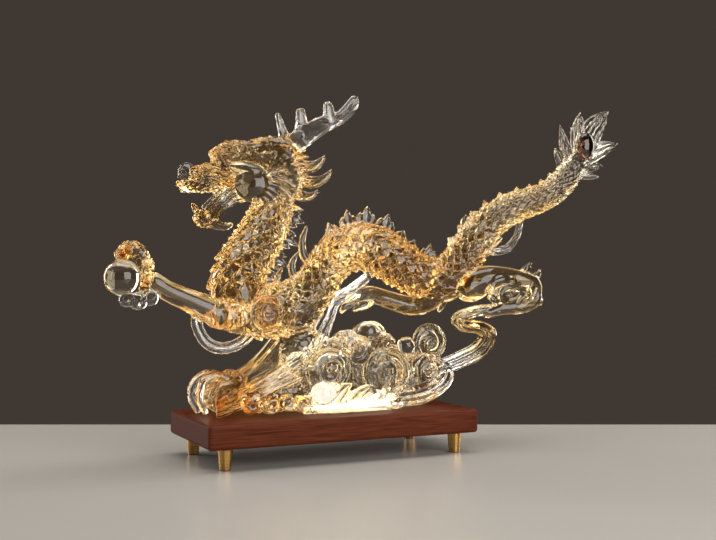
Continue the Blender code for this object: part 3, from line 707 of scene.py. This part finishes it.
def near_arm(skin):
    """The raised foreleg, whose toes close over and under the pearl, and its curled shoulder."""
    sweep(skin, NEAR_ARM, [GOLD, GOLD, HONEY, 0.35, 0.35])
    cords(skin, NEAR_ARM[:4], 5, 0.9, 1.9, 0.7)
    ball(skin, (-105, -27, 84.5), (12, 9, 11), PALE, tilt=0.5)
    sweep(skin, [(-110, -29, 98, 1.8), (-125, -32, 102, 2.2), (-145, -33, 109.5, 1.6)], GOLD)
    sweep(skin, [(-112, -32, 80, 1.6), (-128, -33, 89, 2), (-148, -33, 100.5, 1.4)], GOLD)
    ball(skin, (-64, -25, 84), (12, 11, 12), 1.0, carve=2.4)
    sweep(skin, spiral((-64, -31, 84), 13.5, 1.0, 1.02, 1.0, 1.0, 2.8), GOLD)
    sweep(skin, spiral((-64, -35, 84), 8.5, 2.0, 1.6, 0.95, 0.15, 1.9), BROWN)
    ball(skin, (-166, -28, 123), (7.5, 9, 13), 0.25, carve=2.0)
    ball(skin, (-169, -23, 129), (8.5, 9, 9.5), HONEY, carve=2.0)
    toes = [
        [(-166, -21, 127, 7), (-169, -20, 134, 6), (-175, -21, 136.5, 5.6), (-182, -24, 132, 4.5)],
        [(-166, -31, 127, 7), (-169, -33, 134, 6), (-175, -35, 136.5, 5.6), (-183, -34, 132, 4.5)],
        [(-163, -37, 125, 4.5), (-164, -40, 117, 4.5), (-166, -39, 107, 4), (-170, -37, 101, 3)],
    ]
    for toe, tint in zip(toes, ([HONEY, GOLD, 1.0], [0.3, GOLD, BROWN], [HONEY, GOLD, PALE])):
        sweep(skin, toe, tint, carve=1.6)
    for x, y, z, r in ((-178, -31, 98, 6.5), (-169.5, -32, 96.5, 7.2), (-160.5, -31, 99, 7)):
        ball(skin, (x, y, z), (r, r + 2, r), CLEAR)
        ball(skin, (x + 0.5, y - 2, z - 1.5), (r * 0.6, r + 1.5, r * 0.6), CLEAR)


def far_foreleg(skin):
    """The standing foreleg, with its broad knuckled paw and great curved claws."""
    sweep(skin, FAR_FORELEG, [GOLD, PALE, GOLD, AMBER], wide=0.9, strands=2, depth=0.2)
    ball(skin, (-84, 18, 15), (18, 16, 15), AMBER, carve=1.8)
    for y, reach in ((6, 0), (17, 3), (28, 0)):
        claw = [(-84, y, 28.5, 4.6), (-95 - reach, y, 32, 4), (-106 - reach, y, 25.5, 3.6),
                (-109 - reach, y, 14, 3.3), (-104 - reach, y, 3, 2.8)]
        sweep(skin, claw, [AMBER, PALE, CLEAR, CLEAR])
        inner = [(-82, y - 2, 26, 4), (-92, y - 2, 24, 3.8), (-98, y - 2, 15, 3.4), (-95, y - 2, 5, 2.6)]
        sweep(skin, inner, [AMBER, GOLD, GOLD])
        ball(skin, (-89, y - 1, 9), (7, 6.5, 8.5), AMBER, carve=1.4)
        ball(skin, (-76, y - 2, 28), (7.5, 6, 7), AMBER, carve=1.8)
    for centre, radius, tint in TOE_ROW:
        ball(skin, centre, (radius, radius * 0.9, radius), tint, carve=0.8)
        x, y, z = centre
        face = y - radius * 0.8 if y < 10 else y + radius * 0.8
        sweep(skin, spiral((x, face, z), radius, x, 1.3, 0.9, 0.4, 1.3), GOLD)


def hind_legs(skin):
    """Two stretched hind legs with round haunches, scroll lines and small clear claws."""
    sweep(skin, NEAR_HIND_LEG, [GOLD, 0.45, HONEY, HONEY, HONEY])
    sweep(skin, FAR_HIND_LEG, [GOLD, GOLD, 0.45, HONEY])
    ball(skin, (138, -16, 105), (19, 11, 14), 0.45, tilt=-0.5)
    ball(skin, (124, 12, 103), (17, 10, 14), 0.45)
    ball(skin, (168, -24, 97), (22, 5.5, 12), HONEY)
    for path in (
        [(178, -26, 112, 4), (185, -27, 119, 3.4), (190, -27, 123.5, 1.6)],
        [(192, -25, 109, 4.5), (198, -26, 114, 3), (200, -26, 117.5, 1.4)],
        [(197, -26, 95, 4.5), (200.5, -26, 91, 3), (201, -26, 87, 1.6)],
        [(176, -28, 105, 3.2), (163, -30, 110, 3.8), (150, -30, 107.5, 3.8), (145.5, -30, 98, 3.4),
         (152, -29, 90, 3)],
        [(181, -29, 99, 2.8), (170, -31, 102.5, 3), (159, -31, 101, 3), (156, -31, 95, 2.6),
         (161, -30, 89, 2.2)],
        [(186, -30, 104, 2.2), (180, -31, 95, 2.4), (172, -31, 89, 2.2)],
        [(192, -31, 102, 2), (188, -31, 92, 2.2), (180, -31, 86, 2)],
    ):
        sweep(skin, path, PALE)
    for path in (
        [(56, 20, 97, 5.5), (44, 18, 97, 5), (33, 16, 95, 4.4), (25.5, 16, 91, 2.2)],
        [(52, 26, 94, 5), (42, 28, 92, 4.8), (33, 28, 87, 4.2), (28, 27, 81.5, 2)],
        [(52, 19, 90, 4), (43, 17, 86.5, 4), (36, 17, 83.5, 2)],
        [(121, 17, 96, 3), (125, 18, 88, 3.4), (121, 18, 81, 1.8)],
    ):
        sweep(skin, path, [PALE, CLEAR])


def ribbons(skin):
    """Streamers and locks of parallel strands."""
    sweep(skin, FOOT_RIBBON, [CLEAR, CLEAR, 0.7, 0.3, CLEAR], wide=0.8, strands=3, depth=0.4)
    for path in (LOW_RIBBON, BELLY_STREAMER):
        sweep(skin, path, CLEAR, wide=0.9, strands=3, depth=0.4)
    sweep(skin, TAIL_LOCK, CLEAR, tall=1.2, strands=2, depth=0.7)
    sweep(skin, ELBOW_LOCK, CLEAR, tall=1.25, strands=2, depth=0.75)
    for k in range(4):
        wave = [(-98, -8 - k, 12 - 3.5 * k, 2.2), (-72, -11 - k, 23.5 - 4 * k, 2.8),
                (-50, -13 - k, 35 - 4.5 * k, 3), (-28, -12 - k, 48 - 6 * k, 2.6)]
        sweep(skin, wave, [AMBER, GOLD, PALE, PALE])


def cloud_scroll(skin, centre, radius, start, handed):
    """A thin lens of glass in a round rim, with a cord that winds inwards to a small knob."""
    ball(skin, centre, (radius * 0.94, 4.5, radius * 0.94), PALE)
    thick = 1.3 + radius * 0.06
    sweep(skin, spiral(centre, radius - thick, start, 1.02, 1.0, 1.0, thick * 1.3), 0.3, wide=1.5)
    cord = spiral(centre, radius, start, 1.6 * handed, 0.72, 0.16, thick * 1.25)
    sweep(skin, cord, 0.35, wide=2.2)
    ball(skin, centre, (radius * 0.17, 7, radius * 0.17), HONEY)


def clouds(skin):
    """Carved cloud banks under scrolls, with leaves, sweeps and clear balls between them."""
    for centre, radii in CLOUD_MASSES:
        ball(skin, centre, radii, 0.3, carve=1.3)
    for i, (centre, radius) in enumerate(CLOUD_SCROLLS):
        cloud_scroll(skin, centre, radius, 1.0 + 0.7 * i, 1 if i % 2 else -1)
    for root, tip, width in BASE_LOBES:
        leaf(skin, root, tip, width, 0.16, 7, veins=2, bend=width * 0.15)
    for path in BASE_SWEEPS:
        sweep(skin, path, 0.1)
    for x, y, z, r in CLOUD_BALLS:
        ball(skin, (x, y, z), (r, r, r), 0.05)


def link(obj):
    bpy.context.scene.collection.objects.link(obj)
    return obj


def mesh_from(name, points, quads, triangles):
    """A mesh object from arrays of points in metres and of corners."""
    mesh = bpy.data.meshes.new(name)
    corners = np.concatenate([quads.ravel(), triangles.ravel()])
    starts = np.concatenate([np.arange(len(quads)) * 4,
                             len(quads) * 4 + np.arange(len(triangles)) * 3])
    mesh.vertices.add(len(points))
    mesh.vertices.foreach_set("co", points.ravel())
    mesh.loops.add(len(corners))
    mesh.loops.foreach_set("vertex_index", corners)
    mesh.polygons.add(len(starts))
    mesh.polygons.foreach_set("loop_start", starts)
    mesh.update(calc_edges=True)
    mesh.validate()
    return link(bpy.data.objects.new(name, mesh))


def applied(obj):
    """The object with its modifiers baked into its mesh."""
    graph = bpy.context.evaluated_depsgraph_get()
    mesh = bpy.data.meshes.new_from_object(obj.evaluated_get(graph))
    obj.modifiers.clear()
    old, obj.data = obj.data, mesh
    bpy.data.meshes.remove(old)
    return obj


def to_metres(points):
    return points * MM + np.array((PLINTH_X, 0, PLINTH_TOP))


def fused(skin, name):
    """One closed surface around every laid form, smoothed as cast glass is, with its tints."""
    points = to_metres(np.concatenate(skin.points))
    tints = np.concatenate(skin.tints)
    whole = mesh_from(name, points, np.concatenate(skin.quads), np.concatenate(skin.triangles))
    remesh = whole.modifiers.new("One skin", "REMESH")
    remesh.mode, remesh.voxel_size = "VOXEL", VOXEL
    ease = whole.modifiers.new("Fire polish", "SMOOTH")
    ease.factor, ease.iterations = 0.5, SMOOTHING_ROUNDS
    applied(whole)
    faces = 2 * len(whole.data.polygons)
    thin = whole.modifiers.new("Fewer facets", "DECIMATE")
    thin.ratio = min(1.0, MOST_TRIANGLES / faces)
    applied(whole)
    tree = kdtree.KDTree(len(points))
    for i, point in enumerate(points):
        tree.insert(point, i)
    tree.balance()
    found = np.array([np.mean([tints[i] for _, i, _ in tree.find_n(v.co, TINT_POINTS)])
                      for v in whole.data.vertices])
    layer = whole.data.attributes.new("tint", "FLOAT", "POINT")
    layer.data.foreach_set("value", np.maximum(blurred(whole.data, found, TINT_BLURS), 0))
    whole.data.shade_smooth()
    return whole


def blurred(mesh, values, rounds):
    """Values at the vertices, averaged with their neighbours."""
    edges = np.empty(len(mesh.edges) * 2, int)
    mesh.edges.foreach_get("vertices", edges)
    edges = edges.reshape(-1, 2)
    count = np.bincount(edges.ravel(), minlength=len(values))
    for _ in range(rounds):
        total = np.bincount(edges[:, 0], values[edges[:, 1]], len(values))
        total += np.bincount(edges[:, 1], values[edges[:, 0]], len(values))
        values = (values + total) / (1 + count)
    return values


def new_material(name):
    """A material, its node tree and the sockets of its shader."""
    made = bpy.data.materials.new(name)
    made.use_nodes = True
    return made, made.node_tree, made.node_tree.nodes["Principled BSDF"].inputs


def add_node(tree, kind, **values):
    """A node with its number sockets set. From_Min stands for the socket called From Min."""
    made = tree.nodes.new("ShaderNode" + kind)
    for socket, value in values.items():
        made.inputs[socket.replace("_", " ")].default_value = value
    return made


def noise(tree, stretch, **values):
    """Noise in the piece's own space, scaled along each axis."""
    place = add_node(tree, "TexCoord")
    mapping = add_node(tree, "Mapping", Scale=stretch)
    tree.links.new(place.outputs["Object"], mapping.inputs["Vector"])
    made = add_node(tree, "TexNoise", **values)
    tree.links.new(mapping.outputs["Vector"], made.inputs["Vector"])
    return made.outputs["Fac"]


def spread(tree, source, low, high, start=0.0, end=1.0):
    """The source's values from start to end, spread from low to high."""
    made = add_node(tree, "MapRange", From_Min=start, From_Max=end, To_Min=low, To_Max=high)
    tree.links.new(source, made.inputs["Value"])
    return made.outputs["Result"]


def colours(tree, source, stops):
    """The source's values as colours, blended between stops of position and colour."""
    made = add_node(tree, "ValToRGB")
    ramp = made.color_ramp.elements
    while len(ramp) < len(stops):
        ramp.new(1.0)
    for stop, (position, colour) in zip(ramp, stops):
        stop.position, stop.color = position, (*colour, 1)
    tree.links.new(source, made.inputs["Fac"])
    return made.outputs["Color"]


def clear_glass(name, roughness):
    """Glass that is see-through by plain shader values, and the flow that its tint follows."""
    made, tree, shader = new_material(name)
    shader["Transmission Weight"].default_value = 1.0
    shader["IOR"].default_value = 1.5
    shader["Roughness"].default_value = roughness
    return made, tree, shader, noise(tree, (1.0, 1.0, 1.0), Scale=60.0, Detail=3.0)


def cast_glass(name):
    """The casting's glass, whose colour follows the tint of its form with the painted shade of its
    grooves, a little unevenly.
    """
    made, tree, shader, flow = clear_glass(name, 0.02)
    tint = add_node(tree, "Attribute")
    tint.attribute_name = "tint"
    share = add_node(tree, "Math")
    share.operation = "MULTIPLY"
    tree.links.new(tint.outputs["Fac"], share.inputs[0])
    tree.links.new(spread(tree, flow, 0.375, 0.6, 0.3, 0.7), share.inputs[1])
    tree.links.new(colours(tree, share.outputs["Value"], CAST_TINTS), shader["Base Color"])
    return made


def pearl_glass(name):
    made, tree, shader, flow = clear_glass(name, 0.01)
    share = spread(tree, flow, 0.0, 1.0, 0.3, 0.7)
    tree.links.new(colours(tree, share, PEARL_TINTS), shader["Base Color"])
    return made


def walnut(name):
    """Reddish walnut: long grain along X, darker pores and a satin lacquer."""
    made, tree, shader = new_material(name)
    shader["Specular IOR Level"].default_value = 0.04
    grain = noise(tree, (6.0, 130.0, 130.0), Scale=6.0, Detail=8.0, Distortion=0.6)
    tree.links.new(colours(tree, grain, WALNUT_COLOURS), shader["Base Color"])
    tree.links.new(spread(tree, grain, 0.34, 0.48), shader["Roughness"])
    bump = add_node(tree, "Bump", Strength=0.15, Distance=0.0004)
    tree.links.new(grain, bump.inputs["Height"])
    tree.links.new(bump.outputs["Normal"], shader["Normal"])
    return made


def brass(name):
    """Turned brass with fine rings around the peg."""
    made, tree, shader = new_material(name)
    shader["Metallic"].default_value = 1.0
    rings = noise(tree, (20.0, 20.0, 1800.0), Scale=1.0)
    tree.links.new(colours(tree, rings, BRASS_COLOURS), shader["Base Color"])
    tree.links.new(spread(tree, rings, 0.2, 0.38), shader["Roughness"])
    return made


def plain(name, colour, roughness):
    made, _, shader = new_material(name)
    shader["Base Color"].default_value = (*colour, 1)
    shader["Roughness"].default_value = roughness
    return made


def dragon_piece():
    """The casting, fused from every form and seated on the plinth and round the pearl."""
    skin = Casting()
    scaled_tube(skin, NECK, NECK_TINTS)
    scaled_tube(skin, BODY, BODY_TINTS)
    for build in (skull, lower_jaw, mane, antlers, tail_fin, near_arm, far_foreleg, hind_legs,
                  ribbons, clouds, tail_spines, hooks):
        build(skin)
    fins_along(skin, NECK, NECK_FINS)
    fins_along(skin, BODY, BODY_FINS)
    whole = fused(skin, "dragon_casting")
    seat(whole)
    whole.data.materials.append(cast_glass("cast_glass"))
    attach(whole, "root")
    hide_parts("dragon")


def seat(whole):
    """Clears stray faces, cuts the casting flat where it stands and keeps it off the pearl."""
    bm = bmesh.new()
    bm.from_mesh(whole.data)
    strays = [face for face in bm.faces if all(len(vert.link_faces) < 3 for vert in face.verts)]
    bmesh.ops.delete(bm, geom=strays, context="FACES")
    floor = PLINTH_TOP + SEAT_GAP
    cut = bmesh.ops.bisect_plane(
        bm, geom=bm.verts[:] + bm.edges[:] + bm.faces[:], plane_co=(0, 0, floor),
        plane_no=(0, 0, 1), clear_inner=True, dist=1e-6,
    )
    edges = [e for e in cut["geom_cut"] if isinstance(e, bmesh.types.BMEdge)]
    bmesh.ops.holes_fill(bm, edges=edges, sides=0)
    clear = PEARL_RADIUS + SEAT_GAP
    for vert in bm.verts:
        away = vert.co - PEARL_CENTRE
        if away.length < clear:
            vert.co = PEARL_CENTRE + away.normalized() * clear
    bm.to_mesh(whole.data)
    bm.free()
    whole.data.shade_smooth()


def pearl_piece():
    bm = bmesh.new()
    bmesh.ops.create_icosphere(bm, subdivisions=5, radius=PEARL_RADIUS)
    bmesh.ops.translate(bm, vec=PEARL_CENTRE, verts=bm.verts[:])
    mesh = bpy.data.meshes.new("glass_pearl")
    bm.to_mesh(mesh)
    bm.free()
    mesh.shade_smooth()
    made = link(bpy.data.objects.new("glass_pearl", mesh))
    made.data.materials.append(pearl_glass("pearl_glass"))
    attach(made, "root")
    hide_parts("pearl")


def plinth_and_feet():
    """The plinth and the feet stay as they are packed and only get their materials."""
    wood, metal = walnut("walnut_grain"), brass("turned_brass")
    for name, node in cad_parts.items():
        if name == "plinth":
            node.data.materials.clear()
            node.data.materials.append(wood)
        elif name.startswith("foot"):
            node.data.materials.clear()
            node.data.materials.append(metal)


def stage():
    """A pale table top in a dim neutral room, lit by soft boxes and from under the clouds."""
    bm = bmesh.new()
    bmesh.ops.create_cube(bm, size=1.0)
    turn = Matrix.Rotation(CAMERA_YAW, 4, "Z")
    middle = turn @ Vector((0, TABLE_BEHIND - TABLE_SIZE.y / 2, -TABLE_SIZE.z / 2))
    place = Matrix.Translation(middle) @ turn @ Matrix.Diagonal((*TABLE_SIZE, 1))
    bmesh.ops.transform(bm, matrix=place, verts=bm.verts[:])
    mesh = bpy.data.meshes.new("table_top")
    bm.to_mesh(mesh)
    bm.free()
    table = link(bpy.data.objects.new("table_top", mesh))
    table.data.materials.append(plain("pale_table", TABLE_COLOUR, 0.3))
    room()
    base_glow()
    for box in SOFT_BOXES:
        soft_box(*box)


def soft_box(name, around, height, distance, size, radiance):
    """A studio soft box at an angle round the figure from the camera, aimed at its middle."""
    turn = CAMERA_YAW + math.radians(around)
    at = Vector((math.sin(turn) * distance, -math.cos(turn) * distance, height))
    panel("softbox_" + name, at, SOFT_BOX_AIM - at, size, radiance, SOFT_BOX_COLOUR)


def panel(name, at, aim, size, radiance, colour, shape="RECTANGLE"):
    """A flat lamp that shines along aim and stays out of the camera's own sight."""
    data = bpy.data.lights.new(name, "AREA")
    data.shape, data.size, data.size_y = shape, *size
    data.energy = radiance * math.pi * size[0] * size[1]
    data.color = colour
    made = link(bpy.data.objects.new(name, data))
    made.location = at
    made.rotation_euler = aim.to_track_quat("-Z", "Y").to_euler()
    made.visible_camera = False


def base_glow():
    """The lamps under the clouds: warm panels that light the foot of the casting from within."""
    for i, ((x, y, z), aim, (wide, deep), radiance) in enumerate(BASE_GLOW):
        panel(f"base_glow_{i}", Vector((PLINTH_X + x * MM, y * MM, PLINTH_TOP + z * MM)),
              Vector(aim), (wide * MM, deep * MM), radiance, GLOW_COLOUR, "ELLIPSE")


def room():
    """A dim room whose ceiling is pale, so that glass seen against the dark still gathers light."""
    world = bpy.data.worlds.new("room")
    bpy.context.scene.world = world
    world.use_nodes = True
    tree = world.node_tree
    place = add_node(tree, "TexCoord")
    split = add_node(tree, "SeparateXYZ")
    tree.links.new(place.outputs["Generated"], split.inputs["Vector"])
    mix = add_node(tree, "Mix")
    mix.data_type = "RGBA"
    mix.inputs["A"].default_value = (*ROOM_COLOUR, 1)
    mix.inputs["B"].default_value = (*CEILING_COLOUR, 1)
    height = spread(tree, split.outputs["Z"], 0.0, 1.0, 0.45, 0.75)
    tree.links.new(height, mix.inputs["Factor"])
    tree.links.new(mix.outputs["Result"], tree.nodes["Background"].inputs["Color"])


def camera():
    """The photograph's own viewpoint and angle of view, with no depth of field."""
    data = bpy.data.cameras.new("camera")
    data.sensor_width = 36.0
    data.lens = FOCAL_PIXELS * data.sensor_width / FRAME_PIXELS
    made = link(bpy.data.objects.new("camera", data))
    x, y, z = CAMERA_AT
    made.location = (PLINTH_X + x * MM, y * MM, PLINTH_TOP + z * MM)
    look = Vector((-math.sin(CAMERA_YAW) * math.cos(CAMERA_PITCH),
                   math.cos(CAMERA_YAW) * math.cos(CAMERA_PITCH), -math.sin(CAMERA_PITCH)))
    made.rotation_euler = look.to_track_quat("-Z", "Y").to_euler()
    bpy.context.scene.camera = made


bpy.context.scene.view_settings.view_transform = "Standard"
bpy.context.scene.cycles.max_bounces = 32
bpy.context.scene.cycles.transmission_bounces = 32
bpy.context.scene.cycles.glossy_bounces = 12
camera()
stage()
dragon_piece()
pearl_piece()
plinth_and_feet()
